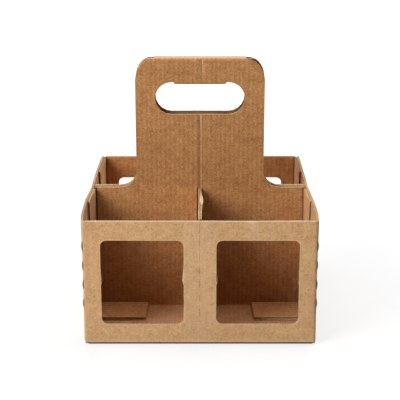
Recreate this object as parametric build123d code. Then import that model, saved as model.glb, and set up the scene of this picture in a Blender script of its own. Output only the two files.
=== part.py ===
from build123d import *
import math
import os

# Cardboard four-pack carrier, folded and glued from one die-cut blank of corrugated board,
# with a separate divider board in front of and behind the two-ply handle wall.
# Millimetres. X runs across the front, Y from front to back, Z up.
# The origin is at the middle of the footprint, on the surface that the carrier stands on.

# Overall sizes, outside
carrier_width = 165.0
carrier_depth = 172.0
wall_height = 93.0
carrier_height = 191.5

# Board and folds
board = 1.8
fold_inner = 0.5
soft_bend = 30.0
side_clearance = 0.4
overrun = 2.0

# Handle wall: distances behind the outside of the front wall
front_cell_floor = 69.5
rear_cell_floor = 69.5
front_ply_at_shoulder = 80.9
rear_ply_at_shoulder = 87.6
front_ply_at_spine = 80.2
rear_ply_at_spine = 89.2

# Handle outline
handle_width = 96.0
handle_corner = 15.0
shoulder_fillet = 12.5
hand_hole_width = 66.5
hand_hole_height = 24.2
grip_height = 17.2

# Comfort flap, turned back at the top of the hand-hole in the front ply
comfort_flap_width = 39.0
comfort_flap_drop = 1.6
comfort_flap_rise = 12.0
comfort_flap_turn = 3.2

# Windows
window_corner = 4.4
front_window_width = 58.4
front_window_height = 62.4
front_window_sill = 15.7
front_window_offset = 40.7
rear_window_width = 56.7
rear_window_height = 59.0
rear_window_sill = 15.7
rear_window_offset = 39.9
nick_height = 1.4
nick_reach = 0.6

# Anchor flaps, from the front ply to the end walls, with the feet that lie on the floor
anchor_flap_length = 34.5
anchor_flap_foot_inset = 5.5
anchor_flap_drop = 0.5
foot_reach = 42.8
foot_front = 39.6
foot_back_gap = 0.7
foot_lift = 0.3

# Flaps of the rear wall, glued inside the end walls
rear_flap_length = 46.5

# Cut-score slots along the front corner folds
corner_slot_count = 4
corner_slot_pitch = 14.2
corner_slot_length = 7.0
corner_slot_below_top = 40.2
corner_slot_depth = 0.9
corner_lug_reach = 0.6
corner_lug_length = 4.0

# Pressed creases: down the middle of the front wall, with cut dashes, and on the front of the handle
crease_width = 0.7
crease_depth = 0.3
dash_count = 7
dash_pitch = 10.6
dash_length = 5.0
dash_width = 0.6
dash_depth = 1.2
dash_below_top = 36.4
front_crease_offset = -0.35
handle_crease_offset = 0.5
grip_crease_offset = 1.8
grip_crease_length = 10.2

# Dividers
divider_gap = 0.3
divider_flap_width = 9.5
divider_flap_drop = 4.0
divider_tab_height = 25.0
divider_tab_centre = 45.0
divider_tab_reach = 4.0
slot_clearance = 0.2

fold_middle = fold_inner + board / 2
fold_outer = fold_inner + board
half_width = carrier_width / 2
half_depth = carrier_depth / 2
strip_half_width = half_width - board - side_clearance
hand_hole_top = carrier_height - grip_height
hole_middle = hand_hole_top - hand_hole_height / 2
corner_slot_centre = wall_height - corner_slot_below_top
dash_centre = wall_height - dash_below_top


def behind(distance):
    """Y of a point that lies this far behind the outside of the front wall."""
    return distance - half_depth


def ply_middle(rear, height):
    """Distance of a ply's middle behind the front, at a height between the floor and the shoulder."""
    share = (height - board / 2) / (wall_height - board / 2)
    if rear:
        low = carrier_depth - rear_cell_floor
        return low + (rear_ply_at_shoulder - low) * share
    return front_cell_floor + (front_ply_at_shoulder - front_cell_floor) * share


def ply_half_thickness(rear):
    """Half the board's thickness, measured level through the leaning part of a ply."""
    low = carrier_depth - rear_cell_floor if rear else front_cell_floor
    shoulder = rear_ply_at_shoulder if rear else front_ply_at_shoulder
    lean = math.atan2(abs(shoulder - low), wall_height - board / 2)
    return board / 2 / math.cos(lean)


def handle_face(height):
    """Y of the front of the front ply, above the shoulders."""
    share = (height - wall_height) / (carrier_height - board / 2 - wall_height)
    middle = front_ply_at_shoulder + (front_ply_at_spine - front_ply_at_shoulder) * share
    return behind(middle - board / 2)


def folded_strip():
    """The main strip of the blank in section: wall, floor, ply, spine, ply, floor, wall."""
    middle = board / 2
    points = [
        (behind(middle), wall_height),
        (behind(middle), middle),
        (behind(front_cell_floor), middle),
        (behind(front_ply_at_shoulder), wall_height),
        (behind(front_ply_at_spine), carrier_height - middle),
        (behind(rear_ply_at_spine), carrier_height - middle),
        (behind(rear_ply_at_shoulder), wall_height),
        (behind(carrier_depth - rear_cell_floor), middle),
        (behind(carrier_depth - middle), middle),
        (behind(carrier_depth - middle), wall_height),
    ]
    radii = [fold_middle, fold_middle, soft_bend, fold_middle, fold_middle, soft_bend, fold_middle, fold_middle]
    path = FilletPolyline(*points, radius=radii)
    section = Plane.YZ * trace(path, line_width=board)
    return extrude(section, amount=strip_half_width, both=True)


def blank_outline():
    """What the die leaves of the strip, seen from the front: full width, then shoulders and handle."""
    body = Pos(0, wall_height / 2) * Rectangle(2 * strip_half_width, wall_height)
    handle = Pos(0, carrier_height / 2) * Rectangle(handle_width, carrier_height)
    outline = body + handle
    outline = fillet(outline.vertices().group_by(Axis.Y)[-1], handle_corner)
    inner_corners = outline.vertices().filter_by(
        lambda corner: abs(corner.Y - wall_height) < board and abs(corner.X) < handle_width / 2 + board)
    outline = fillet(inner_corners, shoulder_fillet)
    return extrude(Plane.XZ * outline, amount=half_depth + overrun, both=True)


def front_belt():
    """Front wall and both end walls, bent round the two front corner folds."""
    line = half_width - board / 2
    path = FilletPolyline((-line, half_depth), (-line, behind(board / 2)), (line, behind(board / 2)),
                          (line, half_depth), radius=fold_middle)
    belt = extrude(trace(path, line_width=board), amount=wall_height)
    relief = Pos(0, behind(fold_outer / 2), fold_outer / 2) * Box(carrier_width, fold_outer, fold_outer)
    return belt - relief


def rear_belt():
    """Rear wall and its two glued flaps, inside the end walls."""
    line = half_width - board * 3 / 2
    path = FilletPolyline((-line, half_depth - rear_flap_length), (-line, half_depth - board / 2),
                          (line, half_depth - board / 2), (line, half_depth - rear_flap_length),
                          radius=fold_middle)
    height = wall_height - anchor_flap_drop - fold_outer
    return Pos(0, 0, fold_outer) * extrude(trace(path, line_width=board), amount=height)


def anchor_flap(side):
    """Flap from the front ply, glued along an end wall, with its foot turned in over the floor."""
    line = half_width - board * 3 / 2
    foot_middle = board + foot_lift + board / 2
    path = FilletPolyline((line, wall_height - anchor_flap_drop), (line, foot_middle),
                          (half_width - foot_reach, foot_middle), radius=fold_middle)
    section = Plane.XZ * trace(path, line_width=board)
    bent = Pos(0, behind(front_ply_at_shoulder)) * extrude(section, amount=front_ply_at_shoulder)
    fold_height = foot_middle + fold_outer
    free_top = front_ply_at_shoulder - anchor_flap_length
    foot_back = ply_middle(False, board) - ply_half_thickness(False) - foot_back_gap
    foot_zone = Plane.YZ * Polygon(
        (behind(foot_front), 0), (behind(foot_back), 0), (behind(foot_back), fold_height),
        (behind(foot_front), fold_height), align=None)
    flap_zone = Plane.YZ * Polygon(
        (behind(free_top - anchor_flap_foot_inset), fold_height),
        (behind(ply_middle(False, fold_height)), fold_height),
        (behind(front_ply_at_shoulder), wall_height),
        (behind(free_top), wall_height), align=None)
    kept = extrude(foot_zone, amount=carrier_width) + extrude(flap_zone, amount=carrier_width)
    flap = bent & kept
    return flap if side > 0 else mirror(flap, Plane.YZ)


def rounded_window(width, height, offset, sill, wall_y):
    """Cutter for one window, with the two small nicks that held the waste piece left standing."""
    shape = RectangleRounded(width, height, window_corner)
    for side in (-1, 1):
        edge = side * width / 2
        shape -= Polygon((edge + side * nick_reach, nick_height), (edge - side * nick_reach, 0),
                         (edge + side * nick_reach, -nick_height), align=None)
    placed = Plane.XZ * (Pos(offset, sill + height / 2) * shape)
    return Pos(0, wall_y) * extrude(placed, amount=board + overrun, both=True)


def windows():
    """Cutters for the two front and two rear windows."""
    cutters = []
    for side in (-1, 1):
        cutters.append(rounded_window(front_window_width, front_window_height,
                                      side * front_window_offset, front_window_sill, -half_depth))
        cutters.append(rounded_window(rear_window_width, rear_window_height,
                                      side * rear_window_offset, rear_window_sill, half_depth))
    return cutters


def hand_hole():
    """Cutter for the hand-hole, through both plies of the handle."""
    slot = Pos(0, hole_middle) * SlotOverall(hand_hole_width, hand_hole_height)
    depth = rear_ply_at_spine - front_ply_at_spine + 2 * (board + overrun)
    middle = behind((front_ply_at_spine + rear_ply_at_spine) / 2)
    return Pos(0, middle) * extrude(Plane.XZ * slot, amount=depth / 2, both=True)


def comfort_flap():
    """Tongue of the front ply, turned back and up at the top of the hand-hole."""
    ply = handle_face(hand_hole_top) + board / 2
    back = ply + comfort_flap_turn
    bottom = hand_hole_top - comfort_flap_drop + board / 2
    path = FilletPolyline((ply, hand_hole_top + board), (ply, bottom), (back, bottom),
                          (back, bottom + comfort_flap_rise), radius=fold_middle)
    section = Plane.YZ * trace(path, line_width=board)
    return extrude(section, amount=comfort_flap_width / 2, both=True)


def corner_cuts(side):
    """Slots of one perforated front corner fold: notches in the fold, and the end wall's raw lugs."""
    notches = []
    lugs = []
    half = corner_slot_length / 2
    start = behind(corner_slot_depth)
    for index in range(corner_slot_count):
        height = corner_slot_centre + (index - (corner_slot_count - 1) / 2) * corner_slot_pitch
        notch = Box(2 * fold_outer, 2 * corner_slot_depth, corner_slot_length)
        notches.append(Pos(side * half_width, -half_depth, height) * notch)
        outer = side * half_width
        inner = side * (half_width - board)
        edge = Polyline((outer, height - half), (inner, height - half), (inner, height + half),
                        (outer, height + half))
        bow = ThreePointArc((outer, height + half), (outer + side * corner_lug_reach, height),
                            (outer, height - half))
        lug = make_face(Plane.XZ * (edge + bow))
        lugs.append(Pos(0, start) * extrude(lug, amount=-corner_lug_length, dir=(0, -1, 0)))
    return notches, lugs


def vee_groove(x, bottom_y, bottom, top_y, top):
    """Cutter for a shallow pressed crease that runs up a face from its bottom to its top."""
    shape = Polygon((x - crease_width, bottom_y - crease_depth), (x + crease_width, bottom_y - crease_depth),
                    (x, bottom_y + crease_depth), align=None)
    run = Vector(0, top_y - bottom_y, top - bottom)
    return Pos(0, 0, bottom) * extrude(shape, amount=run.length, dir=run)


def handle_creases():
    """Creases on the front ply: below the hand-hole, and above it, a little to the right."""
    hole_bottom = hand_hole_top - hand_hole_height
    grip_top = carrier_height - fold_outer
    spans = [(handle_crease_offset, wall_height, hole_bottom),
             (grip_crease_offset, grip_top - grip_crease_length, grip_top)]
    return [vee_groove(x, handle_face(low), low, handle_face(high), high) for x, low, high in spans]


def front_crease():
    """Crease down the middle of the front wall, with its row of cut dashes."""
    face = -half_depth
    cutters = [vee_groove(front_crease_offset, face, fold_outer, face, wall_height)]
    for index in range(dash_count):
        height = dash_centre + (index - (dash_count - 1) / 2) * dash_pitch
        dash = Box(dash_width, 2 * dash_depth, dash_length)
        cutters.append(Pos(front_crease_offset, -half_depth, height) * dash)
    return cutters


def divider_slot(rear):
    """Slot in a ply for the divider's tab."""
    depth = ply_middle(rear, divider_tab_centre)
    slot = Box(board + 2 * slot_clearance, 2 * (board + overrun), divider_tab_height + 2 * slot_clearance)
    return Pos(0, behind(depth), divider_tab_centre) * slot


def carrier_blank():
    """The folded and glued blank: walls, floors, two-ply handle, flaps and feet in one piece."""
    blank = folded_strip() & blank_outline()
    blank += front_belt()
    blank += rear_belt()
    for side in (-1, 1):
        blank += anchor_flap(side)
    blank -= hand_hole()
    blank += comfort_flap()
    for cutter in windows() + front_crease() + handle_creases():
        blank -= cutter
    for rear in (False, True):
        blank -= divider_slot(rear)
    for side in (-1, 1):
        notches, lugs = corner_cuts(side)
        for notch in notches:
            blank -= notch
        for lug in lugs:
            blank += lug
    return blank


def divider(rear):
    """Divider board between an outer wall and the handle wall, with glue flap and locking tab."""
    half = ply_half_thickness(rear)
    facing = -1 if rear else 1

    def wall_side(distance):
        return behind(carrier_depth - distance) if rear else behind(distance)

    def ply_side(height):
        return behind(ply_middle(rear, height) - facing * (half + divider_gap))

    wall_edge = wall_side(2 * board + divider_gap)
    outline = Polygon((wall_edge, board), (ply_side(board) - facing * fold_inner, board),
                      (ply_side(board + fold_inner), board + fold_inner),
                      (ply_side(wall_height), wall_height), (wall_edge, wall_height), align=None)
    tab_low = divider_tab_centre - divider_tab_height / 2
    tab_high = divider_tab_centre + divider_tab_height / 2
    tab_root = ply_side(tab_low) - facing * divider_tab_reach
    tab_end = behind(ply_middle(rear, divider_tab_centre) + facing * (half + divider_tab_reach))
    tab_lead = tab_end - facing * divider_tab_reach / 2
    tab = Polygon((tab_root, tab_low), (tab_lead, tab_low), (tab_end, tab_low + divider_tab_reach / 2),
                  (tab_end, tab_high - divider_tab_reach / 2), (tab_lead, tab_high), (tab_root, tab_high),
                  align=None)
    panel = extrude(Plane.YZ * (outline + tab), amount=board / 2, both=True)
    face = wall_side(board * 3 / 2)
    path = FilletPolyline((0, wall_side(2 * board + fold_outer)), (0, face),
                          (facing * divider_flap_width, face), radius=fold_middle)
    low = board + fold_outer
    flap = extrude(trace(path, line_width=board), amount=wall_height - divider_flap_drop - low)
    return panel + Pos(0, 0, low) * flap


def main():
    os.makedirs("parts", exist_ok=True)
    pieces = {
        "carrier_blank": carrier_blank(),
        "front_divider": divider(False),
        "rear_divider": divider(True),
    }
    for name, piece in pieces.items():
        export_step(piece, "parts/" + name + ".step")
        print(name, len(piece.solids()), "solid", round(piece.volume), "cubic mm")


main()
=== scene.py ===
import bisect
import math
import bmesh
import bpy
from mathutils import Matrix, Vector, noise


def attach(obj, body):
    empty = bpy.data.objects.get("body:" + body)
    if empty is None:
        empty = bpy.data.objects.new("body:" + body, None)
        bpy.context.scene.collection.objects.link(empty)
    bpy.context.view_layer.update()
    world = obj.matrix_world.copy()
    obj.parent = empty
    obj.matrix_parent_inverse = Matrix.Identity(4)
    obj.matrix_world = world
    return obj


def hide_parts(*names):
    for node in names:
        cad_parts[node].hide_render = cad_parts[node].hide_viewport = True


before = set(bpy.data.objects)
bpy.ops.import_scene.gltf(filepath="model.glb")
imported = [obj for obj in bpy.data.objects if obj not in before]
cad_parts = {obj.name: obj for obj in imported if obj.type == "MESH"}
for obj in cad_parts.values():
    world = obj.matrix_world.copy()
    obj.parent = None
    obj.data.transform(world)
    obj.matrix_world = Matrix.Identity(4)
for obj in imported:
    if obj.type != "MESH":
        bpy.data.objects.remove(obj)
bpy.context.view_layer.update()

# Cardboard four-pack carrier, rebuilt as the corrugated board that it is folded from:
# two thin liners with a fluted medium between them. Sizes are in millimetres.
# "Behind" is a distance behind the outside of the front wall, "low" one below the wall's top.
mm = 0.001

carrier = {
    "width": 165.0, "depth": 172.0, "wallHeight": 93.0, "height": 191.5,
    "halfStrip": 80.3,         # half the width of the strip that makes floors and handle wall
    "foldRadius": 1.4,         # middle of the board at a scored fold
    "softRadius": 30.0,        # the plies' easy bend at the shoulders
}
board = {
    "caliper": 1.8,            # E flute
    "liner": 0.4,              # thickness of each face
    "medium": 0.2,             # and of the fluted sheet between them
    "flutePitch": 3.44,
    "flutePoints": 6,          # points on one flute
    "flutePress": 1.35,        # flattens the tips of the flutes, as glue and press do
    "fluteSeat": 0.45,         # share of the medium's thickness between its middle and the liner
    "linerCell": 9.0,          # spacing of the liner's points, fine enough for the warp
    "mediumCell": 48.0,
    "linerBends": (5, 3),      # rows of points round a scored fold and round an easy bend
    "mediumBends": (3, 2),
    "scoredBend": 0.1,         # one over the radius of the widest fold that is scored
    "glueGap": 0.06,           # between two boards that are glued together
    "drawnAcross": 1.0,        # the knife leaves the medium this far inside a cut along the flutes,
    "drawnAlong": 0.14,        # and this far inside a cut across them
    "sharpAngle": 48.0,        # degrees between faces that stay crisp
}
cutting = {
    "plane": 0.0005, "onCut": 0.002, "apart": 0.02,         # mm, under which two places on a sheet are one
    "kerf": 0.001,             # mm, keeps two corners of an outline apart
    "turned": 0.01,            # a corner's outward sides cancel out under this
}
hair = 0.01                    # mm, less than anything that shows
halfBoard = board["caliper"] / 2
halfWidth = carrier["width"] / 2
halfDepth = carrier["depth"] / 2
wallTop = carrier["wallHeight"]
foldOuter = carrier["foldRadius"] + halfBoard
innerLine = halfWidth - board["caliper"] * 3 / 2 - board["glueGap"]     # a board glued inside an end wall


def behind(distance):
    return distance - halfDepth


def toLinear(hexColour):
    # sRGB hex to the linear colour that a shader takes
    parts = [int(hexColour[i:i + 2], 16) / 255 for i in (1, 3, 5)]
    return [p / 12.92 if p <= 0.04045 else ((p + 0.055) / 1.055) ** 2.4 for p in parts] + [1.0]


def addNode(tree, kind, settings=None, links=None):
    node = tree.nodes.new("ShaderNode" + kind)
    for name, value in (settings or {}).items():
        if isinstance(name, int) or name in node.inputs:
            node.inputs[name].default_value = value
        else:
            setattr(node, name, value)
    for name, source in (links or {}).items():
        tree.links.new(source, node.inputs[name])
    return node


# Paper materials. The flat map holds each sheet's place on the uncut blank, in metres:
# its first coordinate runs across the flutes and its second along them.

linerFinish = {
    "fibreLength": 2.8,        # mm, a long softwood fibre bundle, lies across the flutes
    "fibreWidth": 1.1,
    "grainSize": 1.25,         # mm, the felt side's fine grain
    "flocSize": 6.5,           # mm, clouds of fibre
    "stainSize": 42.0,
    "toneReach": 0.2,          # from the middle tone to the pale and to the dark one
    "castShare": 0.12, "castFrom": 0.38, "castTo": 0.62,
    "speckSize": 1.7,          # mm between places where a bark speck may lie
    "speckChance": 0.015, "speckRadius": 0.34, "speckStrength": 0.5, "speckColour": "#5a3a22",
    # pale colour of worn paper and of painted highlight, dark colour of painted shade
    "rubbed": "#dfc3a4", "paintedDark": "#48260e",
    "ribRelief": 0.35, "bumpStrength": 0.7,
    "sockets": {"Specular IOR Level": 0.25, "Sheen Weight": 0.08, "Sheen Roughness": 0.6},
}
edgeFinish = {
    "toneFrom": 0.35, "toneTo": 0.62,
    "tipCatch": 0.3,           # extra light on the tips of the flutes
    # pale colour of worn edges and of painted highlight, dark colour of painted shade
    "rubbed": "#f0dcc0", "paintedDark": "#4a2e1a",
    "bumpStrength": 0.5, "bumpDepth": 0.05,
    "sockets": {"Specular IOR Level": 0.15},
}


def startPaper(name):
    material = bpy.data.materials.new(name)
    material.use_nodes = True
    flat = addNode(material.node_tree, "UVMap", {"uv_map": "flat"}).outputs["UV"]
    return material, material.node_tree, flat


def setStops(node, stops):
    # a colour ramp's stops, the two outer ones first, each a position and a hex colour
    for index, (position, colour) in enumerate(stops):
        elements = node.color_ramp.elements
        stop = elements[index] if index < 2 else elements.new(position)
        stop.position = position
        stop.color = toLinear(colour)


def addRibs(tree, flat, perFlute):
    # a wave across the sheet, with this many crests on each flute
    across = addNode(tree, "SeparateXYZ", {}, {"Vector": flat})
    turns = addNode(tree, "Math", {"operation": "MULTIPLY",
                    1: perFlute * 2 * math.pi / (board["flutePitch"] * mm)}, {0: across.outputs["X"]})
    return addNode(tree, "Math", {"operation": "COSINE"}, {0: turns.outputs["Value"]}).outputs["Value"]


def finishPaper(tree, finish, colour, rub, height, bumpDepth, roughness):
    # the pale mark is worn folds and cut rims and painted highlight; the dark one is painted shade in
    # creases, gaps and shadowed places
    shader = tree.nodes["Principled BSDF"]
    marking = addNode(tree, "Mix", {"data_type": "RGBA", 7: toLinear(finish["rubbed"])}, {0: rub, 6: colour})
    shadeMask = addNode(tree, "Attribute", {"attribute_name": "paintedShade"})
    paintedDark = addNode(tree, "Mix", {"data_type": "RGBA", 7: toLinear(finish["paintedDark"])},
                     {0: shadeMask.outputs["Fac"], 6: marking.outputs[2]})
    tree.links.new(paintedDark.outputs[2], shader.inputs["Base Color"])
    bump = addNode(tree, "Bump", {"Strength": finish["bumpStrength"], "Distance": bumpDepth * mm},
                   {"Height": height})
    tree.links.new(bump.outputs["Normal"], shader.inputs["Normal"])
    shader.inputs["Roughness"].default_value = roughness
    for socket, value in finish["sockets"].items():
        shader.inputs[socket].default_value = value


def kraftPaper(name, colours, weights, roughness, bumpDepth):
    # colours: pale, middle, dark, then the two casts that drift over the sheet
    # weights: of the fibres, grain, flocs, stains and ribs in the tone
    material, tree, flat = startPaper(name)
    perMetre = 1 / mm
    fibreMap = addNode(tree, "Mapping", {"Scale": (
        perMetre / linerFinish["fibreLength"], perMetre / linerFinish["fibreWidth"], 1.0)}, {"Vector": flat})
    fibres = addNode(tree, "TexNoise", {"Scale": 1.0, "Detail": 2.0, "Roughness": 0.6,
                     "Distortion": 0.6}, {"Vector": fibreMap.outputs["Vector"]})
    grain = addNode(tree, "TexNoise", {"Scale": perMetre / linerFinish["grainSize"], "Detail": 2.0,
                    "Roughness": 0.6, "Distortion": 0.8}, {"Vector": flat})
    flocs = addNode(tree, "TexNoise", {"Scale": perMetre / linerFinish["flocSize"], "Detail": 3.0,
                    "Roughness": 0.6}, {"Vector": flat})
    stains = addNode(tree, "TexNoise", {"Scale": perMetre / linerFinish["stainSize"],
                     "Detail": 2.0}, {"Vector": flat})

    # the medium's tips show through the liner as ribs, where the glue took more and less
    glued = addNode(tree, "Math", {"operation": "MULTIPLY"},
                    {0: addRibs(tree, flat, 1), 1: flocs.outputs["Fac"]})
    tone = None
    for source, weight in zip((fibres.outputs["Fac"], grain.outputs["Fac"], flocs.outputs["Fac"],
                               stains.outputs["Fac"], glued.outputs["Value"]), weights):
        before = {2: tone.outputs["Value"]} if tone else {}
        tone = addNode(tree, "Math", {"operation": "MULTIPLY_ADD", 1: weight, 2: 0.0}, {0: source, **before})
    middleTone = sum(weights[:4]) / 2
    paper = addNode(tree, "ValToRGB", {}, {"Fac": tone.outputs["Value"]})
    setStops(paper, ((middleTone - linerFinish["toneReach"], colours[2]),
                     (middleTone + linerFinish["toneReach"], colours[0]), (middleTone, colours[1])))
    drift = addNode(tree, "ValToRGB", {}, {"Fac": flocs.outputs["Fac"]})
    setStops(drift, ((linerFinish["castFrom"], colours[3]), (linerFinish["castTo"], colours[4])))
    cast = addNode(tree, "Mix", {"data_type": "RGBA", 0: linerFinish["castShare"]},
                   {6: paper.outputs["Color"], 7: drift.outputs["Color"]})

    # bark specks, few and small
    cells = addNode(tree, "TexVoronoi", {"Scale": perMetre / linerFinish["speckSize"],
                    "Randomness": 1.0}, {"Vector": flat})
    chance = addNode(tree, "SeparateColor", {}, {"Color": cells.outputs["Color"]})
    few = addNode(tree, "Math", {"operation": "LESS_THAN", 1: linerFinish["speckChance"]},
                  {0: chance.outputs["Red"]})
    small = addNode(tree, "Math", {"operation": "LESS_THAN", 1: linerFinish["speckRadius"]},
                    {0: cells.outputs["Distance"]})
    speck = addNode(tree, "Math", {"operation": "MULTIPLY"},
                    {0: few.outputs["Value"], 1: small.outputs["Value"]})
    speckMix = addNode(tree, "Math", {"operation": "MULTIPLY", 1: linerFinish["speckStrength"]},
                       {0: speck.outputs["Value"]})
    specked = addNode(tree, "Mix", {"data_type": "RGBA", 7: toLinear(linerFinish["speckColour"])},
                      {0: speckMix.outputs["Value"], 6: cast.outputs[2]})
    wearAndPaintedLight = addNode(tree, "Attribute", {"attribute_name": "rub"})
    relief = addNode(tree, "Math", {"operation": "MULTIPLY_ADD", 1: linerFinish["ribRelief"]},
                     {0: glued.outputs["Value"], 2: grain.outputs["Fac"]})
    finishPaper(tree, linerFinish, specked.outputs[2], wearAndPaintedLight.outputs["Fac"], relief.outputs["Value"],
                bumpDepth, roughness)
    return material


def rawPaperEdge(name, colour, shade, grit, roughness):
    # die-cut paper: short torn fibres, so it is matte, pale and slightly rough
    material, tree, flat = startPaper(name)
    grain = addNode(tree, "TexNoise", {"Scale": 1 / (grit * mm), "Detail": 3.0,
                    "Roughness": 0.7}, {"Vector": flat})
    tint = addNode(tree, "ValToRGB", {}, {"Fac": grain.outputs["Fac"]})
    setStops(tint, ((edgeFinish["toneFrom"], shade), (edgeFinish["toneTo"], colour)))

    # where a flute's tip is glued to the liner the cut edge is thicker and catches more light
    wearAndPaintedLight = addNode(tree, "Attribute", {"attribute_name": "rub"})
    caught = addNode(tree, "Math", {"operation": "MULTIPLY_ADD", "use_clamp": True,
                     1: edgeFinish["tipCatch"]}, {0: addRibs(tree, flat, 2), 2: wearAndPaintedLight.outputs["Fac"]})
    finishPaper(tree, edgeFinish, tint.outputs["Color"], caught.outputs["Value"], grain.outputs["Fac"],
                edgeFinish["bumpDepth"], roughness)
    return material


# kraft liner, machine finished: the outside, pale gold-brown, mottled, with bark specks
# test liner: the inside, thinner and redder, so that the flutes show as fine upright ribs
# fluting: semichemical medium, grey-brown and dull, seen only in the cut edges
# die-cut edge: the liners' fibres torn by the knife, so that it is paler than their faces
finishes = [
    kraftPaper("kraftLinerOuter", ("#ddb280", "#c99e6f", "#af8151", "#cf9b77", "#c5a168"),
               weights=(0.26, 0.72, 0.38, 0.2, 0.02), roughness=0.8, bumpDepth=0.08),
    kraftPaper("testLinerInner", ("#cc9663", "#ae7b49", "#8c592d", "#b67a4c", "#ac8049"),
               weights=(0.2, 0.68, 0.4, 0.2, 0.065), roughness=0.85, bumpDepth=0.1),
    rawPaperEdge("flutingMedium", "#b3926a", "#7d5f40", grit=0.8, roughness=0.92),
    rawPaperEdge("dieCutLinerEdge", "#d8c09c", "#a88d68", grit=0.6, roughness=0.92),
]
outerLiner, innerLiner, fluting, cutEdge = range(4)
print("materials", len(finishes))


# Bent board: a path of straight runs and round folds, in the plane across the folds

def foldPath(corners, radii):
    runs = []
    length = 0.0
    start = Vector(corners[0])
    for index in range(1, len(corners)):
        corner = Vector(corners[index])
        heading = (corner - start).normalized()
        angle = math.atan2(heading.y, heading.x)
        if index == len(corners) - 1:
            runs.append((length, length + (corner - start).length, start, angle, 0.0))
            break
        after = (Vector(corners[index + 1]) - corner).normalized()
        turn = math.atan2(heading.cross(after), heading.dot(after))
        radius = radii[index - 1]
        setback = radius * math.tan(abs(turn) / 2)
        bendStart = corner - heading * setback
        straight = (bendStart - start).length
        runs.append((length, length + straight, start, angle, 0.0))
        length += straight
        arc = radius * abs(turn)
        runs.append((length, length + arc, bendStart, angle, math.copysign(1 / radius, turn)))
        length += arc
        start = corner + after * setback
    return runs


def pathPlace(runs, length, lift):
    # the point at this length along the path, lifted to its left
    run = next((r for r in runs if length <= r[1]), runs[-1])
    begin, _, start, angle, bend = run
    along = length - begin
    if bend:
        heading = angle + bend * along
        x = start.x + (math.sin(heading) - math.sin(angle)) / bend
        y = start.y - (math.cos(heading) - math.cos(angle)) / bend
    else:
        heading = angle
        x = start.x + along * math.cos(angle)
        y = start.y + along * math.sin(angle)
    return x - lift * math.sin(heading), y + lift * math.cos(heading)


def foldMarks(runs, steps, softSteps):
    # lengths at which the board needs a line of points to follow its folds
    marks = []
    for begin, end, _, _, bend in runs:
        count = steps if abs(bend) > board["scoredBend"] else softSteps
        if bend:
            marks += [begin + (end - begin) * i / count for i in range(count + 1)]
    return marks


def arcPoints(centre, radius, fromDegrees, toDegrees, steps=6):
    turn = (toDegrees - fromDegrees) / steps
    angles = [math.radians(fromDegrees + turn * i) for i in range(steps + 1)]
    return [(centre[0] + radius * math.cos(a), centre[1] + radius * math.sin(a)) for a in angles]


# A flat cut sheet, as a triangulated outline with holes and lines of points across it. A place on it
# is a along the folds, s along the path that it is bent to, and w through the board from its middle.

def splitSheet(sheet, faces, cuts, axis):
    if not cuts or not faces:
        return
    middle = len(cuts) // 2
    direction = Vector((1, 0, 0)) if axis == 0 else Vector((0, 1, 0))
    edges = {e for f in faces for e in f.edges}
    corners = {v for f in faces for v in f.verts}
    result = bmesh.ops.bisect_plane(sheet, geom=[*corners, *edges, *faces], dist=cutting["plane"],
                                    plane_co=direction * cuts[middle], plane_no=direction)
    parts = [g for g in result["geom"] if isinstance(g, bmesh.types.BMFace)]
    low = [f for f in parts if f.calc_center_median()[axis] < cuts[middle]]
    high = [f for f in parts if f.calc_center_median()[axis] >= cuts[middle]]
    splitSheet(sheet, low, cuts[:middle], axis)
    splitSheet(sheet, high, cuts[middle + 1:], axis)


def cutSheet(loops, acrossCuts, alongCuts):
    sheet = bmesh.new()
    for loop in loops:
        corners = [sheet.verts.new((p[0], p[1], 0)) for p in loop]
        for index in range(len(corners)):
            sheet.edges.new((corners[index - 1], corners[index]))
    bmesh.ops.triangle_fill(sheet, use_beauty=True, use_dissolve=False, edges=sheet.edges[:],
                            normal=(0, 0, 1))
    across = tidyCuts(acrossCuts)
    splitSheet(sheet, sheet.faces[:], across, 0)
    # the triangles' own edges go, so that each strip between two cuts is one face again
    inner = [e for e in sheet.edges if len(e.link_faces) == 2 and not liesOnCut(e, across)]
    bmesh.ops.dissolve_edges(sheet, edges=inner, use_verts=False, use_face_split=False)
    splitSheet(sheet, sheet.faces[:], tidyCuts(alongCuts), 1)
    return sheet


def drawIn(sheet, amounts):
    # moves the rim of a flat sheet inwards, by its own amount along each flat coordinate
    moves = []
    for corner in sheet.verts:
        outward = Vector((0, 0, 0))
        for edge in corner.link_edges:
            if len(edge.link_faces) == 1:
                along = edge.verts[1].co - edge.verts[0].co
                side = Vector((along.y, -along.x, 0)).normalized()
                centre = edge.link_faces[0].calc_center_median()
                outward += side if side.dot(centre - edge.verts[0].co) < 0 else -side
        if outward.length > cutting["turned"]:
            outward.normalize()
            moves.append((corner, Vector((outward.x * amounts[0], outward.y * amounts[1], 0))))
    for corner, move in moves:
        corner.co -= move


def tidyCuts(cuts):
    kept = []
    for cut in sorted(cuts):
        if not kept or cut - kept[-1] > cutting["apart"]:
            kept.append(cut)
    return kept


def liesOnCut(edge, cuts):
    first, second = (v.co.x for v in edge.verts)
    place = bisect.bisect(cuts, first)
    near = cuts[max(0, place - 2):place + 2]
    return any(max(abs(first - c), abs(second - c)) < cutting["onCut"] for c in near)


def spaced(low, high, step):
    count = max(1, math.ceil((high - low) / step))
    return [low + (high - low) * i / count for i in range(1, count)]


def loopMiddles(loops):
    return [(min(loop)[0] + max(loop)[0]) / 2 for loop in loops]


def fluteLift(across):
    # height of the medium's middle, its tips pressed flat against the liners
    wave = math.sin(2 * math.pi * across / board["flutePitch"])
    pressed = max(-1.0, min(1.0, wave * board["flutePress"]))
    return pressed * (halfBoard - board["liner"] - board["medium"] * board["fluteSeat"])


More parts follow.
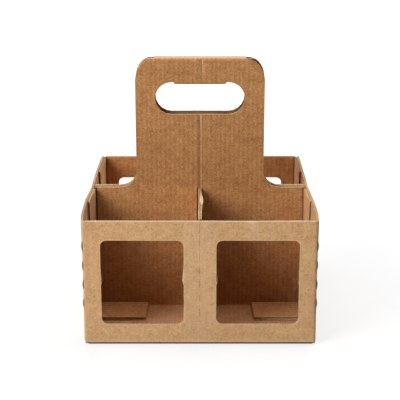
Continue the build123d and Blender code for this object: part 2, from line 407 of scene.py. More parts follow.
class BoardPile:
    # gathers the bent sheets of one piece of board into one mesh

    def __init__(self):
        self.points, self.faces, self.finish, self.flat = [], [], [], []
        self.rub, self.paintedShade = [], []

    def addSheet(self, sheet, lower, upper, finishes, bend):
        # a closed thin sheet between two lifts, each a function of the flat place
        sheet.verts.index_update()
        base = len(self.points)
        count = len(sheet.verts)
        flatPlaces = [(v.co.x, v.co.y) for v in sheet.verts]
        for lift in (upper, lower):
            for a, s in flatPlaces:
                height = lift(a, s)
                self.points.append(bend["place"](a, s, height))
                rub, paintedShade = bend["wearAndPaintedLight"](a, s, height)
                self.rub.append(rub)
                self.paintedShade.append(paintedShade)

        def keep(corners, finish):
            places = [flatPlaces[c % count] for c in corners]
            places = [(a - bend["origin"][0], s - bend["origin"][1]) for a, s in places]
            if bend["across"] == 1:
                places = [(s, a) for a, s in places]
            if bend["flip"]:
                corners, places = corners[::-1], places[::-1]
            self.faces.append([base + c for c in corners])
            self.finish.append(finish)
            self.flat.append(places)

        for face in sheet.faces:
            corners = [v.index for v in face.verts]
            if face.normal.z < 0:
                corners.reverse()
            keep(corners, finishes[0])
            keep([c + count for c in reversed(corners)], finishes[1])
        for edge in sheet.edges:
            if len(edge.link_loops) == 1:
                loop = edge.link_loops[0]
                first, second = loop.vert.index, loop.link_loop_next.vert.index
                if loop.face.normal.z < 0:
                    first, second = second, first
                keep([second, first, first + count, second + count], cutEdge)

    def addBoard(self, loops, place, path=(), across=0, finishes=(innerLiner, outerLiner), flip=False,
                 origin=(0.0, 0.0), lines=((), ()), scores=(), wearAndPaintedLight=None, swell=None, inside=fluting):
        # Two liners and the medium. The first flat coordinate lies along the folds and the second
        # follows the path, across says which of them crosses the flutes, and finishes gives the
        # liner on the left of the path first. Scores are cuts through the other liner alone.
        bend = {"place": place, "flip": flip, "origin": origin, "across": across,
                "wearAndPaintedLight": wearAndPaintedLight or (lambda a, s, w: (0.0, 0.0))}
        swell = swell or (lambda a, s, w: w)
        lows = [min(p[i] for loop in loops for p in loop) for i in (0, 1)]
        highs = [max(p[i] for loop in loops for p in loop) for i in (0, 1)]
        holes = loopMiddles(loops[1:])
        cell = board["linerCell"]
        cuts = [spaced(lows[i], highs[i], cell) + list(lines[i]) for i in (0, 1)]
        cuts[0] += holes + loopMiddles(scores)
        cuts[1] += foldMarks(path, *board["linerBends"])
        thick = board["liner"]
        for top, pair, holed in ((halfBoard, (finishes[0], inside), loops),
                                 (thick - halfBoard, (fluting, finishes[1]), [*loops, *scores])):
            sheet = cutSheet(holed, *cuts)
            self.addSheet(sheet, lambda a, s: swell(a, s, top - thick), lambda a, s: swell(a, s, top),
                          pair, bend)
            sheet.free()
        step = board["flutePitch"] / board["flutePoints"]
        begin = origin[across]
        fluteCuts = [begin + i * step for i in range(math.ceil((lows[across] - begin) / step),
                                                     math.ceil((highs[across] - begin) / step))]
        rowCuts = spaced(lows[1 - across], highs[1 - across], board["mediumCell"])
        marks = foldMarks(path, *board["mediumBends"])
        if across == 0:
            mediumCuts = (fluteCuts + holes, rowCuts + marks)
        else:
            mediumCuts = (rowCuts + holes, fluteCuts + marks)
        sheet = cutSheet(loops, *mediumCuts)
        amounts = (board["drawnAcross"], board["drawnAlong"])
        drawIn(sheet, amounts if across == 0 else amounts[::-1])
        half = board["medium"] / 2

        def wave(a, s):
            return fluteLift((a, s)[across] - begin)

        self.addSheet(sheet, lambda a, s: swell(a, s, wave(a, s) - half),
                      lambda a, s: swell(a, s, wave(a, s) + half), (fluting, fluting), bend)
        sheet.free()

    def build(self, name, node):
        mesh = bpy.data.meshes.new(name)
        mesh.from_pydata([Vector(settle(*p)) * mm for p in self.points], [], self.faces)
        for finish in finishes:
            mesh.materials.append(finish)
        layer = mesh.uv_layers.new(name="flat")
        for polygon, finish, places in zip(mesh.polygons, self.finish, self.flat):
            polygon.material_index = finish
            for loop, flatPlace in zip(polygon.loop_indices, places):
                layer.data[loop].uv = (flatPlace[0] * mm, flatPlace[1] * mm)
        # the pale mark holds wear and painted highlight, the dark one painted shade
        for label, values in (("rub", self.rub), ("paintedShade", self.paintedShade)):
            mesh.attributes.new(label, "FLOAT", "POINT").data.foreach_set("value", values)
        mesh.shade_smooth()
        mesh.set_sharp_from_angle(angle=math.radians(board["sharpAngle"]))
        piece = bpy.data.objects.new(name, mesh)
        bpy.context.collection.objects.link(piece)
        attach(piece, "root")
        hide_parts(node)
        print(name, len(mesh.vertices), "points", sum(len(f) - 2 for f in self.faces), "triangles")
        return piece


# How the folded board has settled: the end walls bow out, and the corner folds hold them in at the
# front. Each pair of numbers is a distance behind the front and how far the wall stands out there.

wallSettle = {
    "left": [(0, 0.2), (12, 1.45), (28, 1.7), (46, 1.9), (60, 1.4), (76, 0.45), (110, 0.6), (145, 0.35),
             (162, -0.05), (172, -0.4)],
    "right": [(0, 0.15), (12, 1.15), (28, 1.35), (46, 1.1), (60, 0.65), (70, 0.4), (84, -0.2), (94, 0.0),
              (109, 0.25), (118, 0.1), (145, 0.4), (162, 0.4), (172, 0.35)],
    "fade": 50.0,              # how far below the top edge the bow has gone
    "flare": 0.5,              # the end walls' feet stand out, but for the creased corners
    "flareFrom": -0.6, "flareHeight": 60.0,
    "nip": {"left": 0.8, "right": 0.25},                    # how far the bottom corners are crushed in
    "nipHeight": 3.0,
    "reach": 14.0,             # the end walls and their flaps lie this close to the sides
    "reachFade": 10.0,
    "waver": 0.2, "waverSize": 34.0, "waverLift": 0.5,
    "grounded": 12.0,          # the waver grows from the floor to this height
    "sag": 0.3,                # the front wall's top edge, pressed down by hands
    "sagFrom": 84.0, "sagFade": 9.0, "sagDepth": 12.0,
    "cap": 0.25,               # the handle's flat top is pushed up from inside
    "capFrom": 183.0, "capFade": 7.0, "capHalf": 45.0, "capEnd": 6.0,
    "spring": 1.006,           # the folded walls and plies spring up a little from their feet
}


def smoothStep(share):
    share = max(0.0, min(1.0, share))
    return share * share * (3 - 2 * share)


def falloff(away, reach):
    # 1 on a line, and evenly less to 0 at this distance from it
    return max(0.0, 1 - abs(away) / reach)


def uneven(along, row):
    # a smooth uneven value about 0, another one for each row
    return noise.noise(Vector((along, row, 0.5)))


def curveThrough(stations, place):
    # a smooth curve through stations, level with its neighbours' chord at each one
    last = len(stations) - 1
    index = min(last - 1, max(0, sum(1 for s, _ in stations if s <= place) - 1))
    slopes = []
    for at in (index, index + 1):
        low, high = stations[max(0, at - 1)], stations[min(last, at + 1)]
        slopes.append((high[1] - low[1]) / (high[0] - low[0]))
    (low, lowValue), (high, highValue) = stations[index], stations[index + 1]
    run = high - low
    t = max(0.0, min(1.0, (place - low) / run))
    return (lowValue * (1 + 2 * t) * (1 - t) ** 2 + slopes[0] * run * t * (1 - t) ** 2
            + highValue * t * t * (3 - 2 * t) + slopes[1] * run * t * t * (t - 1))


def settle(x, y, z):
    side = "left" if x < 0 else "right"
    back = y + halfDepth
    near = smoothStep((abs(x) - (halfWidth - wallSettle["reach"])) / wallSettle["reachFade"])
    high = smoothStep(1 - (wallTop - z) / wallSettle["fade"])
    bow = curveThrough(wallSettle[side], back) * near * high
    flare = wallSettle["flare"] * near * max(0.0, 1 - z / wallSettle["flareHeight"])
    flare *= smoothStep((z - wallSettle["flareFrom"]) / wallSettle["nipHeight"])
    bow += flare - wallSettle["nip"][side] * near * smoothStep(1 - z / wallSettle["nipHeight"])
    outward = bow if x > 0 else -bow
    drift = noise.noise(Vector((x, y, z)) / wallSettle["waverSize"]) * wallSettle["waver"]
    drift *= smoothStep(z / wallSettle["grounded"])
    sag = wallSettle["sag"] * smoothStep((z - wallSettle["sagFrom"]) / wallSettle["sagFade"])
    sag *= smoothStep(1 - back / wallSettle["sagDepth"])
    capped = wallSettle["cap"] * smoothStep((z - wallSettle["capFrom"]) / wallSettle["capFade"])
    capped *= smoothStep((wallSettle["capHalf"] - abs(x)) / wallSettle["capEnd"])
    return x + outward, y + drift, z * wallSettle["spring"] + capped - sag + drift * wallSettle["waverLift"]


# Front wall and end walls: one belt, with windows, a scored middle crease and cut-score corners

frontCut = {
    "windowWidth": 58.4, "windowHeight": 62.9, "sill": 15.7, "offset": 40.7, "corner": 4.4,
    "nickHeight": 1.4, "nickReach": 0.6,
    "toothPitch": 1.72,        # half a flute: the sill is nibbled where the knife crossed the tips
    "toothDepth": 0.6, "toothLevel": 0.6,
    "creaseAt": -0.35, "creaseHalf": 0.8, "creaseDepth": 0.1,
    "creaseLines": (-1.6, -0.7, 0.0, 0.5, 1.2),
    "dashCount": 7, "dashPitch": 10.6, "dashLength": 5.0, "dashWidth": 0.2, "dashLow": 36.4,
    "dashWaver": 0.3, "dashRow": 7.3,
    "slotCount": 4, "slotPitch": 14.2, "slotLength": 7.0, "slotLow": 40.2, "slotDepth": 1.2,
    "slotFrom": 0.48,          # share of the corner's bend that stays in front of the slot
    "lugBow": 0.55, "lugLength": 2.8, "lugRows": 6,
    # wear and painted light, from 0 to 1: the pale mark is worn paper and painted highlight, the dark one
    # painted shade
    # painted highlight and painted shade on the two sides of the middle crease
    "creaseHighlight": 0.35, "rubAt": -0.7, "creaseShade": 0.2, "shadeAt": 0.4,
    "markLevel": 0.6, "markSwing": 0.9,                     # the crease's marks come and go
    "markSize": 3.0, "markRow": 2.7,
    "topRub": 0.6, "endTopRub": 0.3,
    "cornerRub": 0.08, "cornerReach": 2.5,
    "cornerShade": 0.15,        # painted shade on the left corner's bend
    # painted highlight along the bottom fold
    "footHighlight": 0.5, "footReach": 2.0,
    "rimRub": 0.4, "sillRub": 0.15,
    "postLight": 0.12, "postHalf": 8.0, "postFade": 6.0,      # painted light on the middle post
    "dentAt": 40.1, "dentDrop": 13.5,                       # a thumb's buckle in the right top edge
    "dentMiddle": -4.0, "dentHalf": 5.5, "dentRub": 0.35, "dentTopRub": 0.6,
    "wrinkleRub": 0.35, "wrinkleHalf": 0.9,
}
rubBand = 0.9                  # mm, the width of a rubbed rim
crushed = {"share": 0.3, "reach": 2.0, "lines": (0.25, 0.6, 1.0)}     # top edges, pinched by the die


def pinch(below):
    return 1 - crushed["share"] * smoothStep(1 - below / crushed["reach"])


def pinchLines(top):
    return [abs(top - crushed["reach"] * share) for share in crushed["lines"]]


rearCut = {
    "windowWidth": 56.7, "windowHeight": 59.0, "sill": 15.7, "offset": 39.9,
    "toothPitch": 1.72, "toothDepth": 0.2,
    "flapLength": 46.5, "flapDrop": 0.5, "flapRim": 0.3,
    # painted shade on the flaps' top edges and inside the corner folds
    "topRub": 0.45, "flapTopShade": 0.55,
    "foldShade": 0.85, "foldReach": 0.5,
    "chipAt": 76.5, "chipHalf": 2.6, "chipDrop": 3.0, "chipRub": 0.6,
}


def windowLoop(cut, side, place):
    # one window with its two nicks, drawn on (height, x) and put through place
    half, corner = cut["windowWidth"] / 2, frontCut["corner"]
    low, high = cut["sill"], cut["sill"] + cut["windowHeight"]
    middle = (low + high) / 2
    nick, reach = frontCut["nickHeight"], frontCut["nickReach"]
    loop = arcPoints((high - corner, half - corner), corner, 0, 90)
    loop += [(middle + nick, half), (middle, half - reach), (middle - nick, half)]
    loop += arcPoints((low + corner, half - corner), corner, 90, 180)
    sill = half - corner
    teeth = math.floor(2 * sill / cut["toothPitch"])
    level = frontCut["toothLevel"]
    for index in range(2 * teeth - 1):
        x = sill - (index + 1) * sill / teeth
        bite = cut["toothDepth"] * (level + (1 - level) * uneven(x, side))
        loop.append((low - (bite if index % 2 == 0 else 0.0), x))
    loop += arcPoints((low + corner, corner - half), corner, 180, 270)
    loop += [(middle - nick, -half), (middle, reach - half), (middle + nick, -half)]
    loop += arcPoints((high - corner, corner - half), corner, 270, 360)
    return [place(height, side * cut["offset"] + x) for height, x in loop]


def rimRub(cut, height, x):
    # 1 at a window's edge, fading over a narrow band around it
    corner = frontCut["corner"]
    middle = cut["sill"] + cut["windowHeight"] / 2
    overX = abs(abs(x) - cut["offset"]) - (cut["windowWidth"] / 2 - corner)
    overHeight = abs(height - middle) - (cut["windowHeight"] / 2 - corner)
    away = math.hypot(max(0.0, overX), max(0.0, overHeight)) - corner
    return falloff(away, rubBand)


def rimLines(cut):
    # lines of points just outside a window's straight edges: heights, then distances from the middle
    heights = [cut["sill"] - rubBand, cut["sill"] + cut["windowHeight"] + rubBand]
    half = cut["windowWidth"] / 2 + rubBand
    return heights, [side * (cut["offset"] + edge * half) for side in (-1, 1) for edge in (-1, 1)]


def ladder(kind):
    # heights of the middles of the slots or dashes, one above the other
    middle = wallTop - frontCut[kind + "Low"]
    last = frontCut[kind + "Count"] - 1
    return [middle + (index - last / 2) * frontCut[kind + "Pitch"] for index in range(last + 1)]


def boxLoop(lowA, highA, lowS, highS):
    return [(lowA, lowS), (highA, lowS), (highA, highS), (lowA, highS)]


def makeFrontBelt(pile):
    line = halfWidth - halfBoard
    path = foldPath([(-line, halfDepth), (-line, behind(halfBoard)), (line, behind(halfBoard)),
                     (line, halfDepth)], [carrier["foldRadius"]] * 2)
    total = path[-1][1]
    middle = total / 2
    cornerStart, cornerEnd = path[3][:2]
    bendStart, bendEnd = cornerStart - middle, cornerEnd - middle
    raised = foldOuter
    kerf = cutting["kerf"]
    outline = [(0, 0), (wallTop, 0), (wallTop, total), (0, total), (0, cornerEnd + kerf),
               (raised, cornerEnd), (raised, total - cornerEnd), (0, middle - bendEnd - kerf)]
    windows = [windowLoop(frontCut, side, lambda h, x: (h, middle + x)) for side in (-1, 1)]
    slots = []
    for height in ladder("slot"):
        low, high = height - frontCut["slotLength"] / 2, height + frontCut["slotLength"] / 2
        for side in (-1, 1):
            near = middle + side * (cornerStart + (cornerEnd - cornerStart) * frontCut["slotFrom"] - middle)
            far = middle + side * bendEnd
            slots.append(boxLoop(low, high, min(near, far), max(near, far)))
            makeLug(pile, side, low, high)
    dashes = []
    for height in ladder("dash"):
        at = middle + frontCut["creaseAt"] + frontCut["dashWaver"] * uneven(height, frontCut["dashRow"])
        dashes.append(boxLoop(height - frontCut["dashLength"] / 2, height + frontCut["dashLength"] / 2,
                              at - frontCut["dashWidth"] / 2, at + frontCut["dashWidth"] / 2))
    crease = middle + frontCut["creaseAt"]

    def swell(a, s, w):
        # the pressed crease pushes the outer liner in, and the die pinches the inner one's top
        if w > 0:
            return w * pinch(wallTop - a)
        return w + (frontCut["creaseDepth"] * falloff(s - crease, frontCut["creaseHalf"]) if w < 0 else 0.0)

    def dentWear(a, across):
        dent = across - frontCut["dentAt"]
        drop = frontCut["dentDrop"]
        buckle = smoothStep(1 - abs(dent - frontCut["dentMiddle"]) / frontCut["dentHalf"])
        rub = frontCut["dentRub"] * smoothStep((a - wallTop + drop) / drop) * buckle
        rub += frontCut["dentTopRub"] * buckle * smoothStep(1 - (wallTop - a) / (2 * rubBand))
        if a > wallTop - drop:
            rub = max(rub, frontCut["wrinkleRub"] * smoothStep(1 - abs(dent) / frontCut["wrinkleHalf"]))
        return rub

    def wearAndPaintedLight(a, s, w):
        across = s - middle
        away = abs(across)
        ahead = away < bendStart
        if w > 0:
            return (frontCut["topRub"] if ahead and a > wallTop - hair else 0.0), 0.0
        half = frontCut["creaseHalf"]
        level = frontCut["markLevel"]
        broken = level + frontCut["markSwing"] * uneven(a / frontCut["markSize"], frontCut["markRow"])
        # painted highlight on one side of the crease and painted shade on the other, broken into marks
        rub = frontCut["creaseHighlight"] * broken * falloff(s - crease - frontCut["rubAt"], half)
        paintedShade = frontCut["creaseShade"] * (2 * level - broken)
        paintedShade *= falloff(s - crease - frontCut["shadeAt"], half)
        fromBend = min(abs(across - bendStart), abs(across + bendStart))
        rub += frontCut["cornerRub"] * falloff(fromBend, frontCut["cornerReach"])
        # painted highlight along the front wall's bottom fold
        if away < bendEnd:
            rub += frontCut["footHighlight"] * max(0.0, 1 - (a - raised) / frontCut["footReach"])
        rub += frontCut["rimRub" if a > frontCut["sill"] else "sillRub"] * rimRub(frontCut, a, across)
        rub += frontCut["topRub" if ahead else "endTopRub"] * falloff(wallTop - a, rubBand)
        # painted light on the middle post
        rub += frontCut["postLight"] * smoothStep(1 - (away - frontCut["postHalf"]) / frontCut["postFade"])
        # painted shade on the left corner's bend
        if -bendEnd < across < -bendStart:
            paintedShade = frontCut["cornerShade"]
        return max(0.0, min(1.0, rub + dentWear(a, across))), max(0.0, paintedShade)

    rimHeights, rimSides = rimLines(frontCut)
    postEnd = frontCut["postHalf"] + frontCut["postFade"]
    around = [crease + d for d in frontCut["creaseLines"]] + [middle + x for x in rimSides]
    around += [middle + side * d for side in (-1, 1) for d in (frontCut["postHalf"], postEnd)]
    dentLines = (frontCut["dentMiddle"] - frontCut["dentHalf"], frontCut["dentMiddle"],
                 -frontCut["wrinkleHalf"], 0.0, frontCut["wrinkleHalf"])
    around += [middle + frontCut["dentAt"] + d for d in dentLines]
    belowTop = [*pinchLines(wallTop), wallTop - rubBand, wallTop - 2 * rubBand,
                wallTop - frontCut["dentDrop"], raised + frontCut["footReach"], *rimHeights]
    pile.addBoard([outline, *windows, *slots], lambda a, s, w: (*pathPlace(path, s, w), a),
                  path=path, across=1, origin=(0.0, middle), lines=(belowTop, around),
                  scores=dashes, wearAndPaintedLight=wearAndPaintedLight, swell=swell)


def makeLug(pile, side, low, high):
    # the end wall's raw edge, which stays straight where the corner fold is cut
    line = halfWidth - halfBoard
    front = behind(frontCut["slotDepth"])
    length, rows = frontCut["lugLength"], frontCut["lugRows"]

    def place(a, s, w):
        return side * (line + w), front + s, a

    def swell(a, s, w):
        bow = math.sin(math.pi * (a - low) / (high - low)) * frontCut["lugBow"] * (1 - s / length)
        return w + bow * (0.5 + 0.5 * w / halfBoard)

    pile.addBoard([boxLoop(low, high, 0, length)], place, across=1, flip=side < 0,
                  finishes=(outerLiner, innerLiner), swell=swell,
                  lines=([low + (high - low) * i / rows for i in range(1, rows)], ()))


def makeRearBelt(pile):
    rear, flapEnd = halfDepth - halfBoard, halfDepth - rearCut["flapLength"]
    path = foldPath([(-innerLine, flapEnd), (-innerLine, rear), (innerLine, rear), (innerLine, flapEnd)],
                    [carrier["foldRadius"]] * 2)
    total = path[-1][1]
    middle = total / 2
    cornerStart = path[3][0]
    flapTop = wallTop - rearCut["flapDrop"]
    raised = foldOuter
    near = total - cornerStart
    rim = rearCut["flapRim"]
    outline = [(raised, 0), (flapTop, 0), (flapTop, near), (wallTop, near + rim),
               (wallTop, cornerStart - rim), (flapTop, cornerStart), (flapTop, total), (raised, total)]
    windows = [windowLoop(rearCut, side, lambda h, x: (h, middle + x)) for side in (-1, 1)]

    def wearAndPaintedLight(a, s, w):
        below = wallTop - a
        chipped = smoothStep(1 - abs(s - middle - rearCut["chipAt"]) / rearCut["chipHalf"])
        rub = max(rearCut["topRub"] * falloff(below, rubBand),
                  rearCut["chipRub"] * chipped * smoothStep(1 - below / rearCut["chipDrop"]))
        # painted shade inside the corner folds, and along the flaps' top edges
        inFold = min(max(fold[0] - s, s - fold[1]) for fold in (path[1], path[3]))
        paintedShade = rearCut["foldShade"] * smoothStep(1 - inFold / rearCut["foldReach"]) if w < 0 else 0.0
        if not near < s < cornerStart:
            rub = 0.0
            paintedShade = max(paintedShade, rearCut["flapTopShade"] * smoothStep((a - flapTop) / rim + 1))
        return rub, paintedShade

    reach, half = rearCut["foldReach"], rearCut["chipHalf"]
    folds = [at + d for run in (path[1], path[3]) for at, d in ((run[0], -reach), (run[1], reach))]
    folds += [middle + rearCut["chipAt"] + d for d in (-half, 0.0, half)]
    heights = (*pinchLines(wallTop), wallTop - rubBand, wallTop - rearCut["chipDrop"], flapTop - rim)
    pile.addBoard([outline, *windows], lambda a, s, w: (*pathPlace(path, s, w), a),
                  path=path, across=1, origin=(0.0, middle), wearAndPaintedLight=wearAndPaintedLight,
                  swell=lambda a, s, w: w * pinch(wallTop - a), finishes=(outerLiner, innerLiner),
                  lines=(heights, folds))


# Floors and handle wall: one strip from the front wall's foot over the handle to the rear wall's

handleCut = {
    "frontFloor": 69.5, "rearFloor": 69.5,                  # from the outer walls to the plies' feet
    "frontShoulder": 80.9, "rearShoulder": 87.6, "frontSpine": 80.2, "rearSpine": 89.2,
    "width": 96.0, "corner": 13.8, "cornerDrop": 16.2, "shoulderFillet": 12.5,
    "frontSquare": -0.07, "rearSquare": 0.04,               # the front ply's corner is worn rounder
    "holeWidth": 66.5, "holeHeight": 24.2, "gripHeight": 17.7, "rearHoleLift": 0.8,
    "tabHeight": 25.0, "tabMiddle": 45.0, "slotClearance": 0.2,
    "creaseAt": 0.5, "gripCreaseAt": 1.8, "gripCreaseLength": 10.2,
    "creaseHalf": 0.8, "creaseDepth": 0.3, "creaseOverrun": 1.0,
    # painted highlight along the creases, painted shade beside them
    "creaseHighlight": 0.2, "creaseHighlightTop": 0.5, "creaseHighlightRun": 12.0,
    "creaseShade": 0.4, "gripCreaseShade": 0.15, "shadeAt": -1.5, "shadeHalf": 1.4,
    "flapCrease": 77.8,        # crushed fold between the front ply and its anchor flaps, with a line of painted shade
    "dividerShadeLine": (-2.4, -1.5),                          # and a line of painted shade beside the divider
    "grooveShade": 0.95, "rightGroove": 0.6, "grooveRim": 0.2,
    "cellShade": 0.22, "cellRise": 6.0, "cellFade": 30.0,    # painted shade on the cells' back walls
    "floorLight": 0.13, "rightFloor": 0.4,                    # and painted light on their floors, less on the right
    "spineWearAndSheen": 0.75, "spineShade": 0.5,                     # handled flat and worn pale, with painted sheen, dulled by painted shade
    "spineFrom": 0.55, "spineFade": 0.2,
    "spineLines": (0.1, 0.4, 0.55, 0.75, 0.9), "spineMargin": 0.7,
    "footHighlight": 0.5, "footShadow": 0.97, "footFrom": 0.1, "footFade": 0.3,       # painted highlight on the fold under the front wall, then painted contact shadow
    "holeShade": 0.8, "holeShadeRise": 6.0, "holeShadeDrop": 17.0, "holeShadeFades": (4.0, 6.0),  # painted shade between the plies below the hand-hole
    "shade": 0.97, "shadeDrop": 34.0, "shadeFade": 10.0, "shadeSide": 2.0,    # in the top corner
}
comfortFlap = {
    "width": 37.0, "drop": 1.6, "rise": 12.0, "turn": 3.2, "root": 1.9, "slip": 0.02, "fold": 0.45,
    # painted shade over the flap's folded bottom
    "paintedShade": 0.3, "underShadeFade": 0.8, "underShadeEnd": 3.0, "underShadeEndFade": 2.0,
}
holeTop = carrier["height"] - handleCut["gripHeight"]
holeBottom = holeTop - handleCut["holeHeight"]


def plyBehind(rear, height):
    # how far behind the front a ply's middle lies, between the floor and the shoulder
    share = (height - halfBoard) / (wallTop - halfBoard)
    low, high = handleCut["frontFloor"], handleCut["frontShoulder"]
    if rear:
        low, high = carrier["depth"] - handleCut["rearFloor"], handleCut["rearShoulder"]
    return low + (high - low) * share


def handleFront(height):
    share = (height - wallTop) / (carrier["height"] - halfBoard - wallTop)
    return behind(handleCut["frontShoulder"] + (handleCut["frontSpine"] - handleCut["frontShoulder"]) * share)


def makeStrip(pile):
    spineHeight = carrier["height"] - halfBoard
    rearFace = carrier["depth"] - halfBoard
    stations = [(halfBoard, foldOuter), (halfBoard, halfBoard),
                (handleCut["frontFloor"], halfBoard), (handleCut["frontShoulder"], wallTop),
                (handleCut["frontSpine"], spineHeight), (handleCut["rearSpine"], spineHeight),
                (handleCut["rearShoulder"], wallTop), (carrier["depth"] - handleCut["rearFloor"], halfBoard),
                (rearFace, halfBoard), (rearFace, foldOuter)]
    radii = [carrier["softRadius" if index in (2, 5) else "foldRadius"] for index in range(len(stations) - 2)]
    path = foldPath([(behind(distance), height) for distance, height in stations], radii)
    total = path[-1][1]
    footFold, floorFold, _, spineFold, spineEnd, _, rearFold, _ = path[1::2]
    underEnd = spineFold[0] / 3                             # the underside and the ply's hidden foot
    halvings = 40

    def atHeight(height, rear=False):
        # length along the path at which a ply reaches this height
        low, high = (spineEnd[1], rearFold[0]) if rear else (floorFold[1], spineFold[0])
        for _ in range(halvings):
            half = (low + high) / 2
            above = pathPlace(path, half, 0.0)[1] > height
            if above != rear:
                high = half
            else:
                low = half
        return (low + high) / 2

    half, inset = carrier["halfStrip"], handleCut["width"] / 2
    fillet, corner = handleCut["shoulderFillet"], handleCut["corner"]
    spineHalf = inset - corner
    drop = handleCut["cornerDrop"]
    cornerMiddle = carrier["height"] - drop

    def rising(rear):
        # the die's edge on the right of one ply, from the floor's side up to the spine
        edge = [(half, atHeight(wallTop, rear))]
        for x, z in arcPoints((inset + fillet, wallTop + fillet), fillet, 270, 180):
            edge.append((x, atHeight(z, rear)))
        foldStart = pathPlace(path, spineFold[0], 0.0)[1]
        begin, end = (spineEnd[1], spineEnd[0]) if rear else spineFold[:2]
        for across, up in arcPoints((0, 0), 1.0, 0, 90, steps=9):
            square = 1 + handleCut["rearSquare" if rear else "frontSquare"] * across * up
            x = spineHalf + corner * across * square
            z = min(cornerMiddle + drop * up * square, carrier["height"] - hair)
            if z < foldStart:
                edge.append((x, atHeight(z, rear)))
            else:
                share = (z - foldStart) / (carrier["height"] - foldStart) / 2
                edge.append((x, begin + (end - begin) * share))
        return edge

    rightEdge = rising(False) + rising(True)[::-1]
    outline = [(half, 0), *rightEdge, (half, total), (-half, total)]
    outline += [(-x, s) for x, s in rightEdge[::-1]] + [(-half, 0)]
    holes = []
    for rear in (False, True):
        end = handleCut["holeHeight"] / 2
        reach = handleCut["holeWidth"] / 2 - end
        level = holeTop - end + (handleCut["rearHoleLift"] if rear else 0.0)
        loop = arcPoints((reach, level), end, -90, 90, steps=10)
        loop += arcPoints((-reach, level), end, 90, 270, steps=10)
        holes.append([(x, atHeight(z, rear)) for x, z in loop])
        slotHalf = halfBoard + handleCut["slotClearance"]
        tab = handleCut["tabHeight"] / 2 + handleCut["slotClearance"]
        ends = sorted(atHeight(handleCut["tabMiddle"] + t, rear) for t in (-tab, tab))
        holes.append(boxLoop(-slotHalf, slotHalf, *ends))
    shoulder = atHeight(wallTop)
    gripTop = atHeight(carrier["height"] - foldOuter)
    creases = ((handleCut["creaseAt"], shoulder, atHeight(holeBottom), handleCut["creaseShade"]),
               (handleCut["gripCreaseAt"], gripTop - handleCut["gripCreaseLength"], gripTop,
                handleCut["gripCreaseShade"]))
    holeEdge = atHeight(holeBottom, True)
    overrun, rubRun = handleCut["creaseOverrun"], handleCut["creaseHighlightRun"]

    def swell(a, s, w):
        pressed = [falloff(a - at, handleCut["creaseHalf"]) for at, low, high, _ in creases
                   if low - overrun < s < high + overrun]
        return w - handleCut["creaseDepth"] * max(pressed) if w > 0 and pressed else w

    # painted highlight along each crease and painted shade beside it
    def creaseLight(a, s):
        rub, paintedShade = 0.0, 0.0
        for at, low, high, shade in creases:
            if low - overrun < s < high + overrun:
                nearTop = smoothStep((s - high + rubRun) / rubRun)
                strength = handleCut["creaseHighlight"] + handleCut["creaseHighlightTop"] * nearTop
                rub = max(rub, strength * falloff(a - at, handleCut["creaseHalf"]))
                paintedShade = max(paintedShade, shade * falloff(a - at - handleCut["shadeAt"], handleCut["shadeHalf"]))
        return rub, paintedShade

    def faceWearAndLight(a, s):
        # the side that shows: floors, the front ply's face and the flat top
        rub, paintedShade = creaseLight(a, s)
        # the flat top is worn pale with painted sheen, and dulled with painted shade
        marking = min(s - spineFold[0], spineEnd[1] - s) / (spineFold[1] - spineFold[0])
        marking = smoothStep((marking - handleCut["spineFrom"]) / handleCut["spineFade"])
        rub = max(rub, handleCut["spineWearAndSheen"] * marking)
        paintedShade = max(paintedShade, handleCut["spineShade"] * marking)
        # painted light on the front floor, less on the right
        if footFold[1] < s < floorFold[0]:
            rub = handleCut["floorLight"] * (1.0 if a < 0 else handleCut["rightFloor"])
        # painted shade on the front ply below the shoulder
        if floorFold[1] < s:
            rise = smoothStep((shoulder + handleCut["cellRise"] - s) / handleCut["cellFade"])
            paintedShade = max(paintedShade, handleCut["cellShade"] * rise)
        # painted shade lines at the flap folds and beside the divider, lighter on the right
        if floorFold[1] < s < shoulder + hair:
            low, high = handleCut["dividerShadeLine"]
            groove = max(abs(a) - handleCut["flapCrease"], min(a - low, high - a))
            shade = handleCut["grooveShade"] * (1.0 if a < handleCut["creaseAt"] else handleCut["rightGroove"])
            paintedShade = max(paintedShade, shade * smoothStep(groove / handleCut["grooveRim"] + 1))
        return rub, paintedShade

    def backPaintedLight(a, s):
        # painted highlight and contact shadow at the foot under the front wall, and painted shade
        # between the plies below the hand-hole and at the right top corner
        start, fade = handleCut["footFrom"], handleCut["footFade"]
        # painted highlight on the fold, then painted contact shadow
        if s < underEnd:
            return (handleCut["footHighlight"] * falloff(s, start + fade),
                    handleCut["footShadow"] * smoothStep((s - start) / fade))
        if s < spineEnd[1]:
            return 0.0, 0.0
        # painted shade between the plies below the hand-hole
        upper, lower = handleCut["holeShadeFades"]
        holeShade = handleCut["holeShade"] * smoothStep((holeEdge + handleCut["holeShadeRise"] - s) / upper)
        holeShade *= smoothStep((s - holeEdge + handleCut["holeShadeDrop"]) / lower)
        side = handleCut["shadeSide"]
        shade = smoothStep((a - spineHalf + side) / side)
        shade *= smoothStep((spineEnd[1] + handleCut["shadeDrop"] - s) / handleCut["shadeFade"])
        return 0.0, max(holeShade, handleCut["shade"] * shade)

    def wearAndPaintedLight(a, s, w):
        return faceWearAndLight(a, s) if w > 0 else backPaintedLight(a, s)

